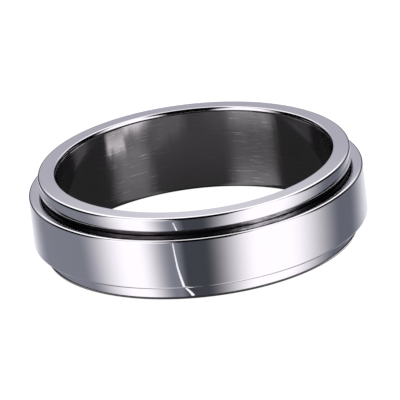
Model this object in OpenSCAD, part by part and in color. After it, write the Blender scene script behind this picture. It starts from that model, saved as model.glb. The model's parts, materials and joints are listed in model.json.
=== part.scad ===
// Spinner ring: a channelled core band with an outer band that turns in its channel.
// Millimetres. The ring lies on its side: Z is the ring's axis, Z = 0 is the face that it lies on.

/* [Core band] */
// Inside diameter of the ring, where the finger goes
bore_d = 19; // [14:0.1:24]
// Width of the ring along its axis
band_w = 5.95; // [5:0.05:9]
// Wall between the finger bore and the floor of the channel
floor_wall = 1; // [0.5:0.05:1.2]
// Height of each flange above the floor of the channel
flange_rise = 0.25; // [0.2:0.05:0.6]
// Thickness of each flange along the axis
flange_w = 1; // [0.7:0.05:1.3]
// Rounding of the two edges of the finger bore
bore_edge_r = 0.2; // [0.1:0.01:0.3]
// Rounding of the outer edge of each end face
rim_edge_r = 0.17; // [0.1:0.01:0.25]
// Rounding of the flange edges that face the channel
lip_edge_r = 0.08; // [0.05:0.01:0.12]

/* [Spinner band] */
// Wall of the spinner band, from its bore to its polished outside
spinner_wall = 0.95; // [0.8:0.05:1.8]
// Rounding of the two outer edges of the spinner band
spinner_edge_r = 0.17; // [0.1:0.01:0.3]
// Rounding of the two inner edges of the spinner band
spinner_bore_edge_r = 0.06; // [0.04:0.01:0.15]

/* [Fits] */
// Radial clearance between the floor of the channel and the spinner band
run_gap = 0.05; // [0.02:0.01:0.1]
// Gap between the lower flange and the spinner band that has dropped towards it
rest_gap = 0.05; // [0.02:0.01:0.1]
// Gap left between the spinner band and the upper flange
play_gap = 0.35; // [0.1:0.05:0.6]

/* [Hidden] */
$fn = 128;
// Reach of a cut past the face that it cuts
cut_over = 1;
bore_r = bore_d / 2;
floor_r = bore_r + floor_wall;
flange_r = floor_r + flange_rise;
channel_w = band_w - 2 * flange_w;
spinner_bore_r = floor_r + run_gap;
spinner_r = spinner_bore_r + spinner_wall;
spinner_low_z = flange_w + rest_gap;
spinner_w = channel_w - rest_gap - play_gap;

// Waste outside a rounded corner. The corner lies at the origin and the metal in the quarter side_x, side_y.
module corner_waste(r, side_x, side_y) {
    mirror([side_x < 0 ? 1 : 0, 0]) mirror([0, side_y < 0 ? 1 : 0])
        difference() {
            square(r);
            translate([r, r]) circle(r);
        }
}

// Section of a band from radius r_in to r_out and from height z_low over a width w, with rounded edges
module band_section(r_in, r_out, z_low, w, in_edge_r, out_edge_r) {
    difference() {
        translate([r_in, z_low]) square([r_out - r_in, w]);
        translate([r_in, z_low]) corner_waste(in_edge_r, 1, 1);
        translate([r_in, z_low + w]) corner_waste(in_edge_r, 1, -1);
        translate([r_out, z_low]) corner_waste(out_edge_r, -1, 1);
        translate([r_out, z_low + w]) corner_waste(out_edge_r, -1, -1);
    }
}

// Inner band with a flange at each end and the channel between them
module core_band() {
    color("lightslategray")
        rotate_extrude()
            difference() {
                band_section(bore_r, flange_r, 0, band_w, bore_edge_r, rim_edge_r);
                translate([floor_r, flange_w]) square([flange_rise + cut_over, channel_w]);
                translate([flange_r, flange_w]) corner_waste(lip_edge_r, -1, -1);
                translate([flange_r, band_w - flange_w]) corner_waste(lip_edge_r, -1, 1);
            }
}

// Outer band that turns in the channel and stands out past the flanges
module spinner_band() {
    color("lightsteelblue")
        rotate_extrude()
            band_section(spinner_bore_r, spinner_r, spinner_low_z, spinner_w,
                         spinner_bore_edge_r, spinner_edge_r);
}

core_band();
spinner_band();
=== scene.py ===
import json
import math

import bmesh
import bpy
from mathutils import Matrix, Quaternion, Vector


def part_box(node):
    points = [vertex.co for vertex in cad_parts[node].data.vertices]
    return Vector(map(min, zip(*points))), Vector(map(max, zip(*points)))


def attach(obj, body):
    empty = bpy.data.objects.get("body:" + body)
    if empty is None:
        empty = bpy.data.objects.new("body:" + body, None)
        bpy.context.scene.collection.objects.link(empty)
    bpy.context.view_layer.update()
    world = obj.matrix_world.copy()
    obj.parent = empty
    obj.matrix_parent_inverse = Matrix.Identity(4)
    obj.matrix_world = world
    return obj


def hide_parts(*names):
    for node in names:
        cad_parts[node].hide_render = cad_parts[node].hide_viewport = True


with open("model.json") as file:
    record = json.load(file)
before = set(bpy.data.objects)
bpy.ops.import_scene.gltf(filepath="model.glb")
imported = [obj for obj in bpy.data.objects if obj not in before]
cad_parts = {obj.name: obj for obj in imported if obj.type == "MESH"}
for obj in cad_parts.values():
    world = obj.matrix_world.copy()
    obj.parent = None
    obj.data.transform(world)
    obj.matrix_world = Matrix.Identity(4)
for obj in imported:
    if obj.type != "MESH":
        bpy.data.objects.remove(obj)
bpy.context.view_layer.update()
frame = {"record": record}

# Camera. A long lens stands far off in front of the ring, a little above it, and is turned
# so that the ring's right side stands higher in the square picture, 400 by 400 pixels.
mm = 0.001
camera_rise = math.radians(21.4)
camera_turn = math.radians(6.5)
camera_away = 800 * mm
picture_width = 27.36 * mm
aim = Vector((0.128, -1, 3.28)) * mm

camera = bpy.data.objects.new("camera", bpy.data.cameras.new("camera"))
bpy.context.scene.collection.objects.link(camera)
bpy.context.scene.camera = camera
camera.data.lens = camera.data.sensor_width * camera_away / picture_width
camera_back = Vector((0, -math.cos(camera_rise), math.sin(camera_rise)))
camera.location = aim + camera_back * camera_away
camera.rotation_mode = "QUATERNION"
level_view = (-camera_back).to_track_quat("-Z", "Y")
camera.rotation_quaternion = level_view @ Quaternion((0, 0, 1), -camera_turn)


# Studio light. A soft panel hangs overhead, behind the ring. Tall soft cards stand left and right
# of the camera, with the dark gap between them where it stands, and a pale wall closes the back.
# Below the horizon is what a glossy table mirrors of them.
def linear(colour):
    """Turns an sRGB hex colour into linear red, green, blue and alpha."""
    parts = [int(colour[i : i + 2], 16) / 255 for i in (1, 3, 5)]
    return [p / 12.92 if p <= 0.04045 else ((p + 0.055) / 1.055) ** 2.4 for p in parts] + [1]


def bright(colour, level):
    """A card's colour at a light level, 1 being a white that just fills the picture's range."""
    return [level * part for part in linear(colour)[:3]] + [1]


def node(kind, links=(), **settings):
    """Adds a node to the tree in hand, with its settings, and links or sets its inputs.

    A node that is given as an input is linked by its first output.
    """
    made = tree.nodes.new(kind)
    for name, value in settings.items():
        setattr(made, name, value)
    for name, value in dict(links).items():
        if isinstance(value, bpy.types.Node):
            value = value.outputs[0]
        if isinstance(value, bpy.types.NodeSocket):
            tree.links.new(value, made.inputs[name])
        else:
            made.inputs[name].default_value = value
    return made


def azimuth_of(place):
    """The degrees that a place is turned about Z, from the camera's side to the right."""
    front = node("ShaderNodeMath", {0: place.outputs["Y"], 1: -1}, operation="MULTIPLY")
    turn = node("ShaderNodeMath", {0: place.outputs["X"], 1: front}, operation="ARCTAN2")
    return node("ShaderNodeMath", {0: turn}, operation="DEGREES")


def rising(value, start, full):
    """0 before start, 1 past full, and smooth between them. start may be the larger one."""
    return node("ShaderNodeMapRange", {"Value": value, "From Min": start, "From Max": full},
                interpolation_type="SMOOTHSTEP")


def both(first, second):
    """The product of two amounts, which is 1 only where both are."""
    return node("ShaderNodeMath", {0: first, 1: second}, operation="MULTIPLY")


def within(value, start, full, fading, end):
    """1 from full to fading, 0 before start and past end, and smooth between them."""
    return both(rising(value, start, full), rising(value, end, fading))


def laid_over(below, above, amount):
    """The colour below, with the one above laid over it by an amount from 0 to 1."""
    mixed = node("ShaderNodeMix", {0: amount, 6: below, 7: above}, data_type="RGBA")
    return mixed.outputs[2]


# Places are degrees: azimuths from the camera's side to the right, and heights over the horizon.
# A pair says where a stretch starts and is full, a four where it starts, is full, fades and ends.
gap_dark = bright("#A0A5B6", 0.228)
table_left = bright("#D8DCEE", 0.46)
table_left_from = (-12, -20)
table_right = bright("#C6CCE0", 0.35)
table_right_from = (60, 100)
table_back = bright("#F4F4FC", 1.02)
table_back_from = ((-134, -170), (124, 162))
card_light = bright("#FFFBFF", 1.7)
cards_on_table = ((-94, -53, -46, -22), (0, 38, 60, 112))
horizon = (-12, -5)

room_dark = bright("#202228", 0.2)
wall_back = bright("#C8C6D2", 1.1)
wall_from = (118, 140)
wall_up_from = (4, 20)
cards_reach = (-82, -62, 66, 86)
cards_top = (76, 56)
# Each card's inner edge, which leans inward over a stretch of heights
card_from = (16, 28)
card_lean = 18
card_leans_over = (12, 36)
# The panel's edges as shares of its height over the ring, which is kept above zero
panel_light = bright("#FFFEFF", 1.9)
panel_aside = (1.15, 0.85)
panel_behind = (-0.15, 0.05, 1.4, 2.6)
least_up = 0.01

studio = bpy.data.worlds.new("studio")
bpy.context.scene.world = studio
studio.use_nodes = True
tree = studio.node_tree
tree.nodes.clear()
way = node("ShaderNodeSeparateXYZ", {"Vector": node("ShaderNodeTexCoord").outputs["Generated"]})
azimuth = azimuth_of(way)
off_front = node("ShaderNodeMath", {0: azimuth}, operation="ABSOLUTE")
climb = node("ShaderNodeMath", {0: way.outputs["Z"]}, operation="ARCSINE")
height = node("ShaderNodeMath", {0: climb}, operation="DEGREES")

table = laid_over(gap_dark, table_left, rising(azimuth, *table_left_from))
table = laid_over(table, table_right, rising(azimuth, *table_right_from))
for stretch in table_back_from:
    table = laid_over(table, table_back, rising(azimuth, *stretch))
for stretch in cards_on_table:
    table = laid_over(table, card_light, within(azimuth, *stretch))

wall = both(rising(off_front, *wall_from), rising(height, *wall_up_from))
room = laid_over(room_dark, wall_back, wall)
leaning = rising(height, *card_leans_over)
off_lean = node("ShaderNodeMath", {0: leaning, 1: -card_lean, 2: off_front}, operation="MULTIPLY_ADD")
cards = both(rising(off_lean, *card_from), within(azimuth, *cards_reach))
room = laid_over(room, card_light, both(cards, rising(height, *cards_top)))
up = node("ShaderNodeMath", {0: way.outputs["Z"], 1: least_up}, operation="MAXIMUM")
across = node("ShaderNodeMath", {0: way.outputs["X"], 1: up}, operation="DIVIDE")
aside = node("ShaderNodeMath", {0: across}, operation="ABSOLUTE")
behind = node("ShaderNodeMath", {0: way.outputs["Y"], 1: up}, operation="DIVIDE")
room = laid_over(room, panel_light, both(rising(aside, *panel_aside), within(behind, *panel_behind)))
background = node("ShaderNodeBackground", {"Color": laid_over(table, room, rising(height, *horizon))})
node("ShaderNodeOutputWorld", {"Surface": background})
bpy.context.scene.view_settings.view_transform = "Standard"


# Floor. A plain pale sheet that the ring lies on, with a painted contact shadow: dark in a thin circle
# where the foot covers it.
# The polished walls don't mirror it, but the studio below the horizon, as a glossy table would.
floor_reach = 3
floor_sink = 0.004 * mm
sheet_white = linear("#77777A")
sheet_glow = 0.96
# Radii in mm where the painted shadow under the foot starts, is full, fades and ends
painted_foot_shadow = (9.6, 9.66, 10.62, 10.7)

bpy.ops.object.select_all(action="DESELECT")
bpy.ops.mesh.primitive_plane_add(size=2 * floor_reach, location=(0, 0, -floor_sink))
floor = bpy.context.object
floor.name = floor.data.name = "floor"
floor.visible_glossy = False
floor.visible_shadow = False
paper = bpy.data.materials.new("white_paper_sheet")
paper.use_nodes = True
tree = paper.node_tree
tree.nodes.clear()
place = node("ShaderNodeTexCoord").outputs["Object"]
off_axis = node("ShaderNodeVectorMath", {0: place, "Scale": 1 / mm}, operation="SCALE")
off_axis = node("ShaderNodeVectorMath", {0: off_axis}, operation="LENGTH").outputs["Value"]
# The sheet's glow fades to nothing under the foot: the painted contact shadow
glow_beside_painted_shadow = node("ShaderNodeMapRange", {"Value": within(off_axis, *painted_foot_shadow), "To Min": sheet_glow,
                                        "To Max": 0})
sheet = node("ShaderNodeBsdfDiffuse", {"Color": sheet_white})
glow = node("ShaderNodeEmission", {"Color": linear("#FFFFFF"), "Strength": glow_beside_painted_shadow})
node("ShaderNodeOutputMaterial", {"Surface": node("ShaderNodeAddShader", {0: sheet, 1: glow})})
floor.data.materials.append(paper)


# Dark well: painted shade and painted reflections. A round well in the table under the ring, hardly
# wider than it, standing for the table in the ring's own shade. Its lining glows, though it lights
# nothing: charcoal painted shade, a pale window on each side that is a painted reflection, and a dark
# rim that is the painted contact shadow at the foot. Only the steel mirrors it: the well gives the
# bore its charcoal and its grey bands, and the ring the dark line along its foot.
well_r = 10.86 * mm
well_rim_r = 11.06 * mm
well_deep = 60 * mm
well_sink = 0.002 * mm
well_sides = 256

bpy.ops.object.select_all(action="DESELECT")
bpy.ops.mesh.primitive_circle_add(vertices=well_sides, radius=well_r, fill_type="NGON",
                                  location=(0, 0, -well_sink - well_deep))
well = bpy.context.object
well.name = well.data.name = "painted_shade_well_under_the_ring"
bpy.ops.object.transform_apply(location=True)
bpy.ops.object.mode_set(mode="EDIT")
bpy.ops.mesh.select_all(action="SELECT")
bpy.ops.mesh.extrude_edges_move(TRANSFORM_OT_translate={"value": (0, 0, well_deep)})
bpy.ops.mesh.extrude_edges_move()
rim_share = well_rim_r / well_r
bpy.ops.transform.resize(value=(rim_share, rim_share, 1), center_override=(0, 0, 0))
bpy.ops.object.mode_set(mode="OBJECT")

# A place on the lining is known by its azimuth in degrees and by wall_z, the height in mm on the
# back of the bore at which the camera finds it mirrored. That is wall_z_top less the place's depth
# in mm, and less the square of its azimuth over wall_z_bend. A noise ripple shifts both a little,
# by up to ripple_aside in azimuth and ripple_up in wall_z.
wall_z_top = 7.98
wall_z_bend = 8000
ripple_size = 0.8 * mm
ripple_aside = 7
ripple_up = 0.6

# Painted light levels of the lining, named for the part of the bore that mirrors them: the lowest,
# then steps up the wall, each with its start, its end and the new level. across is in azimuths, up
# in wall_z, aside in degrees off the front and down in depth, as pairs or fours like the studio's.
# What the bore mirrors on its left lies on the right of the lining.
back_levels = (0.068, (0, 4.5, 0.115))
haze_level = 0.17
haze_across = (-8, -34)
haze_up = (4.3, 5.4)
sheen_level = 0.24
sheen_across = (2, 12, 36, 60)
sheen_up = (4.5, 5.3)
sheen_slant = 0.03
far_sides_level = 0.043
far_sides_aside = (96, 116)
left_window_levels = (0.27, (0.8, 1.9, 0.35), (3.3, 3.6, 0.43), (3.9, 4, 0.27), (5.15, 5.6, 1.7))
left_window_across = (42, 66, 85, 109)
patch_levels = (1.4, (4.86, 5.02, 0.82))
patch_across = (82, 84.5, 105, 110)
patch_up = (4.02, 4.14)
right_window_levels = (0.41, (0.5, 2.4, 0.2), (4.1, 5.9, 0.62))
right_window_across = (-112, -92, -60, -36)
top_sides_level = 0.06
top_sides_aside = (80, 92)
top_sides_down = (0.9, 0.6)
rim_level = 0.03
rim_down = (0.1, 0.05)
deep_level = 0.005
deep_down = (25, 40)

lining = bpy.data.materials.new("painted_shade_and_reflection_lining")
lining.use_nodes = True
tree = lining.node_tree
tree.nodes.clear()
position = node("ShaderNodeTexCoord").outputs["Object"]
place = node("ShaderNodeSeparateXYZ", {"Vector": position})
ripple = node("ShaderNodeTexNoise", {"Vector": position, "Scale": 1 / ripple_size, "Detail": 2})
ripple = node("ShaderNodeSeparateColor", {"Color": ripple.outputs["Color"]})
shift = node("ShaderNodeMapRange", {"Value": ripple.outputs[0], "To Min": -ripple_aside,
                                    "To Max": ripple_aside})
azimuth = node("ShaderNodeMath", {0: azimuth_of(place), 1: shift}, operation="ADD")
off_front = node("ShaderNodeMath", {0: azimuth}, operation="ABSOLUTE")
depth = node("ShaderNodeMath", {0: place.outputs["Z"], 1: -mm}, operation="DIVIDE")
bend = node("ShaderNodeMath", {0: off_front, 1: 2}, operation="POWER")
bend = node("ShaderNodeMath", {0: bend, 1: wall_z_bend}, operation="DIVIDE")
wall_z = node("ShaderNodeMath", {0: wall_z_top, 1: bend}, operation="SUBTRACT")
wall_z = node("ShaderNodeMath", {0: wall_z, 1: depth}, operation="SUBTRACT")
shift = node("ShaderNodeMapRange", {"Value": ripple.outputs[1], "To Min": -ripple_up, "To Max": ripple_up})
wall_z = node("ShaderNodeMath", {0: wall_z, 1: shift}, operation="ADD")


def climbing(level, *steps):
    """A grey light level, with a new level past each step up the wall: start, full, level."""
    tone = bright("#F8F4F6", level)
    for start, full, new in steps:
        tone = laid_over(tone, bright("#F8F4F6", new), rising(wall_z, start, full))
    return tone


# Painted charcoal shade, darker at the far sides, with a painted haze high on the right and a painted
# slanting sheen on the left
slanting = node("ShaderNodeMath", {0: azimuth, 1: sheen_slant, 2: wall_z}, operation="MULTIPLY_ADD")
haze = both(rising(azimuth, *haze_across), rising(wall_z, *haze_up))
sheen = both(within(azimuth, *sheen_across), rising(slanting, *sheen_up))
shade = laid_over(climbing(*back_levels), climbing(haze_level), haze)
shade = laid_over(shade, climbing(sheen_level), sheen)
shade = laid_over(shade, climbing(far_sides_level), rising(off_front, *far_sides_aside))

# The two windows, pale painted reflections, and the painted bright patch at the top of the left one
patch = both(within(azimuth, *patch_across), rising(wall_z, *patch_up))
shade = laid_over(shade, climbing(*left_window_levels), within(azimuth, *left_window_across))
shade = laid_over(shade, climbing(*patch_levels), patch)
shade = laid_over(shade, climbing(*right_window_levels), within(azimuth, *right_window_across))

# Painted shade again at the sides just under the well's rim, on the rim itself as the painted contact
# shadow, and deep down
top_sides = both(rising(depth, *top_sides_down), rising(off_front, *top_sides_aside))
shade = laid_over(shade, climbing(top_sides_level), top_sides)
shade = laid_over(shade, climbing(rim_level), rising(depth, *rim_down))
shade = laid_over(shade, climbing(deep_level), rising(depth, *deep_down))
glow = node("ShaderNodeEmission", {"Color": shade, "Strength": 1})
node("ShaderNodeOutputMaterial", {"Surface": glow})
well.data.materials.append(lining)


# Glowing white strip, a painted reflection. It runs over the table in front of the ring, with one
# bend, and glows though it lights nothing: only the steel mirrors it, and it gives the kinked white
# line that crosses both bands at the front.
thread_w = 0.24 * mm
thread_sink = 0.001 * mm
thread_glow = 1.6
# Where it starts, bends and ends, to the right of the ring's axis and behind it, in mm
thread_points = ((-1.13, -11.15), (-4, -17.4), (-7.5, -26))

white = bpy.data.materials.new("glowing_white_strip")
white.use_nodes = True
tree = white.node_tree
tree.nodes.clear()
# The strip's glow, seen only as a painted reflection in the steel
glow = node("ShaderNodeEmission", {"Color": linear("#FFFFFF"), "Strength": thread_glow})
node("ShaderNodeOutputMaterial", {"Surface": glow})
threads = []
bends = [Vector((x * mm, y * mm, -thread_sink)) for x, y in thread_points]
for part_start, part_end in zip(bends, bends[1:]):
    way = part_end - part_start
    bpy.ops.mesh.primitive_plane_add(size=1, location=(part_start + part_end) / 2)
    thread = bpy.context.object
    thread.name = thread.data.name = "glowing_strip_of_painted_reflection"
    thread.scale = (way.length, thread_w, 1)
    thread.rotation_euler.z = math.atan2(way.y, way.x)
    bpy.ops.object.transform_apply(location=True, rotation=True, scale=True)
    thread.data.materials.append(white)
    threads.append(thread)

for staged in (well, *threads):
    staged.visible_camera = False
    staged.visible_diffuse = False
    staged.visible_shadow = False


# Core band. One ring of stainless steel, turned on a lathe, with a flange at each end and the
# channel between them. The outside and the end faces are buffed to a mirror with softened
# edges, and the finger bore and the channel keep the fine lines of turning.
core_low, core_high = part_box("core_band")
finger_bore = next(m for m in frame["record"]["mounts"] if m["name"] == "finger_bore")
band_w = core_high.z - core_low.z
bore_r = finger_bore["dims"]["r_mm"] * mm
flange_r = (core_high.x - core_low.x) / 2
flange_w = 1 * mm
floor_wall = 1 * mm
channel_r = bore_r + floor_wall
bore_edge_in = 0.16 * mm
bore_edge_deep = 0.36 * mm
bore_edge_segments = 12
rim_edge_r = 0.17 * mm
rim_edge_segments = 8
lip_edge_r = 0.08 * mm
lip_edge_segments = 4
buffed_fall = 0.03 * mm
# Faces round the ring, the most that two faces bend and count as flat, or still shade smoothly
ring_steps = 480
flat_bend = math.radians(1)
smooth_bend = math.radians(35)
# How far a point may lie from the corner, or from the surface, by which it is picked
corner_reach = 0.02 * mm
slack = 0.001 * mm
least_slack = 0.0001 * mm


def band_block(name, r_in, r_out, z_low, z_high):
    """Adds the flat section of a band, standing on the plane through the ring's axis."""
    bpy.ops.object.select_all(action="DESELECT")
    middle = ((r_in + r_out) / 2, 0, (z_low + z_high) / 2)
    bpy.ops.mesh.primitive_plane_add(size=1, location=middle, rotation=(math.pi / 2, 0, 0))
    made = bpy.context.object
    made.name = made.data.name = name
    made.scale = (r_out - r_in, z_high - z_low, 1)
    bpy.ops.object.transform_apply(location=True, rotation=True, scale=True)
    return made


def pick(piece, test):
    """Selects the points of the piece in edit mode whose place passes the test."""
    shape = bmesh.from_edit_mesh(piece.data)
    bpy.ops.mesh.select_all(action="DESELECT")
    for point in shape.verts:
        point.select = test(point.co)
    shape.select_flush(True)
    bmesh.update_edit_mesh(piece.data)


def near(r, z):
    """A test for the points of a section that lie at radius r and height z."""
    return lambda co: math.hypot(co.x - r, co.z - z) < corner_reach


def round_corner(piece, r, z, radius, segments):
    """Rounds with an arc the corner of a section that lies at radius r and height z."""
    pick(piece, near(r, z))
    bpy.ops.mesh.bevel(offset=radius, segments=segments, profile=0.5, affect="VERTICES")


def spin_section(piece):
    """Turns the section about the ring's axis into a closed band with outward faces."""
    bpy.ops.mesh.select_all(action="SELECT")
    bpy.ops.mesh.delete(type="ONLY_FACE")
    bpy.ops.mesh.select_all(action="SELECT")
    bpy.ops.mesh.spin(steps=ring_steps, angle=2 * math.pi, center=(0, 0, 0), axis=(0, 0, 1))
    bpy.ops.mesh.select_all(action="SELECT")
    bpy.ops.mesh.remove_doubles(threshold=slack)
    bpy.ops.mesh.normals_make_consistent(inside=False)
    bpy.ops.object.mode_set(mode="OBJECT")
    bpy.ops.object.shade_smooth_by_angle(angle=smooth_bend)


core = band_block("core_band_steel", bore_r, flange_r, 0, band_w)
bpy.ops.object.mode_set(mode="EDIT")
for cut_at, cut_way in (((0, 0, flange_w), (0, 0, 1)),
                        ((0, 0, band_w - flange_w), (0, 0, 1)),
                        ((channel_r, 0, 0), (1, 0, 0))):
    bpy.ops.mesh.select_all(action="SELECT")
    bpy.ops.mesh.bisect(plane_co=cut_at, plane_no=cut_way, threshold=least_slack)
pick(core, lambda co: co.x > channel_r - slack and flange_w - slack < co.z < band_w - flange_w + slack)
bpy.ops.mesh.delete(type="FACE")
bpy.ops.mesh.select_all(action="SELECT")
bpy.ops.mesh.dissolve_limited(angle_limit=flat_bend)

# The bore's edges are rounded deeper than across, and the end faces fall a little outward.
edge_reach = bore_edge_deep + slack
flatter = bore_edge_in / bore_edge_deep
for end_z, inward in ((band_w, -1), (0, 1)):
    round_corner(core, bore_r, end_z, bore_edge_deep, bore_edge_segments)
    pick(core, lambda co: co.x < bore_r + edge_reach and abs(co.z - end_z) < edge_reach)
    bpy.ops.transform.resize(value=(flatter, 1, 1), center_override=(bore_r, 0, end_z))
    pick(core, near(flange_r, end_z))
    bpy.ops.transform.translate(value=(0, 0, inward * buffed_fall))
    round_corner(core, flange_r, end_z + inward * buffed_fall, rim_edge_r, rim_edge_segments)
    round_corner(core, flange_r, end_z + inward * flange_w, lip_edge_r, lip_edge_segments)
spin_section(core)


# The lines that buffing, turning and wear leave are finer than the picture can show, so they are all
# drawn coarser than real, as coarse as it takes for them to show.
def steel_lines(round_mm, line_mm):
    """Noise in lines round the ring's axis: line_mm wide, and even for about round_mm along them."""
    place = node("ShaderNodeSeparateXYZ", {"Vector": node("ShaderNodeTexCoord").outputs["Object"]})
    flat = node("ShaderNodeCombineXYZ", {"X": place.outputs["X"], "Y": place.outputs["Y"]})
    radius = node("ShaderNodeVectorMath", {0: flat}, operation="LENGTH").outputs["Value"]
    over = node("ShaderNodeMath", {0: radius, 1: place.outputs["Z"]}, operation="ADD")
    fine = node("ShaderNodeMath", {0: over, 1: round_mm / line_mm}, operation="MULTIPLY")
    joined = node("ShaderNodeCombineXYZ", {"X": place.outputs["X"], "Y": place.outputs["Y"], "Z": fine})
    return node("ShaderNodeTexNoise", {"Vector": joined, "Scale": 1 / (round_mm * mm), "Detail": 3,
                                       "Roughness": 0.6})


def steel(name):
    """A bare metal material; returns it with its tree and its shader."""
    made = bpy.data.materials.new(name)
    made.use_nodes = True
    shader = made.node_tree.nodes["Principled BSDF"]
    shader.inputs["Metallic"].default_value = 1
    return made, made.node_tree, shader


# Mirror-buffed 316 stainless steel: a clear mirror with a faint waviness and the last haze of
# the buffing wheel, which runs round the band.
buffed_grey = linear("#CBCACD")
wave_size = 2.4 * mm
wave_deep = 0.0015 * mm
haze_deep = 0.00004 * mm
haze_low = 0.3
haze_high = 0.7
clear_rough = 0.025
hazed_rough = 0.07

mirror_steel, tree, shader = steel("mirror_buffed_stainless_steel")
shader.inputs["Base Color"].default_value = buffed_grey
haze = steel_lines(round_mm=3, line_mm=0.06)
spread = node("ShaderNodeMapRange", {"Value": haze, "From Min": haze_low, "From Max": haze_high,
                                     "To Min": clear_rough, "To Max": hazed_rough})
wave = node("ShaderNodeTexNoise", {"Vector": node("ShaderNodeTexCoord").outputs["Object"],
                                   "Scale": 1 / wave_size, "Detail": 1})
wavy = node("ShaderNodeBump", {"Strength": 1, "Distance": wave_deep, "Height": wave})
lined = node("ShaderNodeBump", {"Strength": 1, "Distance": haze_deep, "Height": haze, "Normal": wavy})
tree.links.new(spread.outputs["Result"], shader.inputs["Roughness"])
tree.links.new(lined.outputs["Normal"], shader.inputs["Normal"])

# Fine-turned 316 stainless steel: the lathe's feed leaves fine lines round the bore, which blur
# what it mirrors along the axis. Wear adds short pale scratches and darker grooves, most of them
# where a finger grips the band, to each side of the back.
# The bore's grey is darker than the buffed steel's: painted shade inside the bore
bore_grey_with_painted_shade = linear("#ABA9AC")
scratch_pale = linear("#D6D4D8")
groove_dark = linear("#7E7C80")
turned_rough = 0.09
drawn_out = 0.5
quarter_turn = 0.25
feed_deep = 0.0001 * mm
# Degrees from the back where the gripped stretch starts, is full, fades and ends, and the levels
# of the noise from which a scratch or a groove starts and is full
gripped_stretch = (11, 19, 34, 42)
scratch_from = (0.58, 0.68)
groove_from = (0.4, 0.32)
scratched_elsewhere = 0.3
groove_amount = 0.4

turned_steel, tree, shader = steel("fine_turned_stainless_steel")
feed = steel_lines(round_mm=4, line_mm=0.07)
grooved = node("ShaderNodeBump", {"Strength": 1, "Distance": feed_deep, "Height": feed})
place = node("ShaderNodeSeparateXYZ", {"Vector": node("ShaderNodeTexCoord").outputs["Object"]})
off_front = node("ShaderNodeMath", {0: azimuth_of(place)}, operation="ABSOLUTE")
off_back = node("ShaderNodeMath", {0: 180, 1: off_front}, operation="SUBTRACT")
gripped = within(off_back, *gripped_stretch)
scratched = node("ShaderNodeMapRange", {"Value": gripped, "To Min": scratched_elsewhere, "To Max": 1})
scratch = rising(steel_lines(round_mm=1.6, line_mm=0.12), *scratch_from)
groove = rising(steel_lines(round_mm=1.1, line_mm=0.16), *groove_from)
worn = laid_over(bore_grey_with_painted_shade, scratch_pale, both(scratch, scratched))
worn = laid_over(worn, groove_dark, both(groove, both(gripped, groove_amount)))
round_axis = node("ShaderNodeTangent", direction_type="RADIAL", axis="Z")
shader.inputs["Roughness"].default_value = turned_rough
shader.inputs["Anisotropic"].default_value = drawn_out
shader.inputs["Anisotropic Rotation"].default_value = quarter_turn
tree.links.new(worn, shader.inputs["Base Color"])
tree.links.new(grooved.outputs["Normal"], shader.inputs["Normal"])
tree.links.new(round_axis.outputs["Tangent"], shader.inputs["Tangent"])

# As-turned 316 stainless steel in the narrow channel, where no wheel reaches: dull, and near black
# as painted shade of the channel, with painted glints: a bright stretch at the front right and a
# fainter one at the front left.
channel_painted_shade = linear("#3C3A3F")
painted_glint_pale = linear("#B4B2B6")
painted_glint_faint = linear("#564E50")
dull_rough = 0.32
glint_rough = 0.12
right_glint_stretch = (8, 18, 30, 42)
left_glint_stretch = (-40, -30, -18, -10)
right_lines_from = (0.3, 0.6)
left_lines_from = (0.35, 0.65)

channel_steel, tree, shader = steel("as_turned_steel_with_painted_shade_and_glints")
place = node("ShaderNodeSeparateXYZ", {"Vector": node("ShaderNodeTexCoord").outputs["Object"]})
azimuth = azimuth_of(place)
# Painted glints: the two stretches at the front, paler and smoother, in fine lines
glint_right = within(azimuth, *right_glint_stretch)
glint_left = within(azimuth, *left_glint_stretch)
fine = steel_lines(round_mm=0.9, line_mm=0.1)
shown = laid_over(channel_painted_shade, painted_glint_pale, both(glint_right, rising(fine, *right_lines_from)))
shown = laid_over(shown, painted_glint_faint, both(glint_left, rising(fine, *left_lines_from)))
glints = node("ShaderNodeMath", {0: glint_right, 1: glint_left}, operation="ADD")
dull = node("ShaderNodeMapRange", {"Value": glints, "To Min": dull_rough, "To Max": glint_rough})
tree.links.new(shown, shader.inputs["Base Color"])
tree.links.new(dull.outputs["Result"], shader.inputs["Roughness"])

for finish in (mirror_steel, turned_steel, channel_steel):
    core.data.materials.append(finish)


def radius_at(co):
    """How far a point lies from the ring's axis."""
    return math.hypot(co.x, co.y)


def finish_where(piece, finish, test):
    """Gives one of the piece's finishes to the faces whose points all pass the test."""
    bpy.ops.object.mode_set(mode="EDIT")
    pick(piece, test)
    piece.active_material_index = piece.data.materials.find(finish.name)
    bpy.ops.object.material_slot_assign()
    bpy.ops.object.mode_set(mode="OBJECT")


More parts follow.
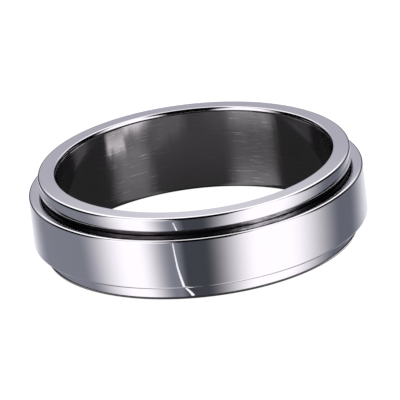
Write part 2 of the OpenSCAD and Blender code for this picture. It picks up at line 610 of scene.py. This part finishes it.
def in_bore(co):
    """The bore's wall and its lower edge, which isn't buffed."""
    return radius_at(co) < bore_r + slack or radius_at(co) < bore_r + bore_edge_in and co.z < bore_edge_deep


def in_channel(co):
    """The channel's floor and the faces of the flanges on each side of it."""
    between_flanges = flange_w - slack < co.z < band_w - flange_w + slack
    return channel_r - slack < radius_at(co) < flange_r - lip_edge_r + slack and between_flanges


def on_true_face(co):
    """The bore's wall and the flat of each end face."""
    on_end = min(co.z, band_w - co.z) < buffed_fall + slack
    on_flat = bore_r + bore_edge_in - slack < radius_at(co) < flange_r - rim_edge_r + slack
    return radius_at(co) < bore_r + least_slack or on_end and on_flat


finish_where(core, turned_steel, in_bore)
finish_where(core, channel_steel, in_channel)

# True faces keep their own normals, so only the rounded edges between them bend what they mirror.
bpy.ops.object.mode_set(mode="EDIT")
pick(core, on_true_face)
bpy.ops.mesh.set_normals_from_faces(keep_sharp=True)
bpy.ops.object.mode_set(mode="OBJECT")
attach(core, "core")
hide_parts("core_band")


# Spinner band. A plain outer ring of the same steel, turned and buffed all over its outside. It
# was slipped on before the upper flange was closed, and turns freely in the channel.
spinner_low, spinner_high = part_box("spinner_band")
spinner_r = (spinner_high.x - spinner_low.x) / 2
run_gap = 0.05 * mm
spinner_bore_r = channel_r + run_gap
spinner_edge_r = 0.17 * mm
spinner_edge_segments = 8
spinner_bore_edge_r = 0.09 * mm
spinner_bore_edge_segments = 3

spinner = band_block("spinner_band_steel", spinner_bore_r, spinner_r, spinner_low.z, spinner_high.z)
bpy.ops.object.mode_set(mode="EDIT")
for end_z in (spinner_low.z, spinner_high.z):
    round_corner(spinner, spinner_r, end_z, spinner_edge_r, spinner_edge_segments)
    round_corner(spinner, spinner_bore_r, end_z, spinner_bore_edge_r, spinner_bore_edge_segments)
spin_section(spinner)
spinner.data.materials.append(mirror_steel)
spinner.data.materials.append(channel_steel)
in_spinner_bore = spinner_bore_r + spinner_bore_edge_r + slack
# Its bore takes the channel's steel, with the painted shade and painted glints
finish_where(spinner, channel_steel, lambda co: radius_at(co) < in_spinner_bore)
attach(spinner, "spinner")
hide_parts("spinner_band")
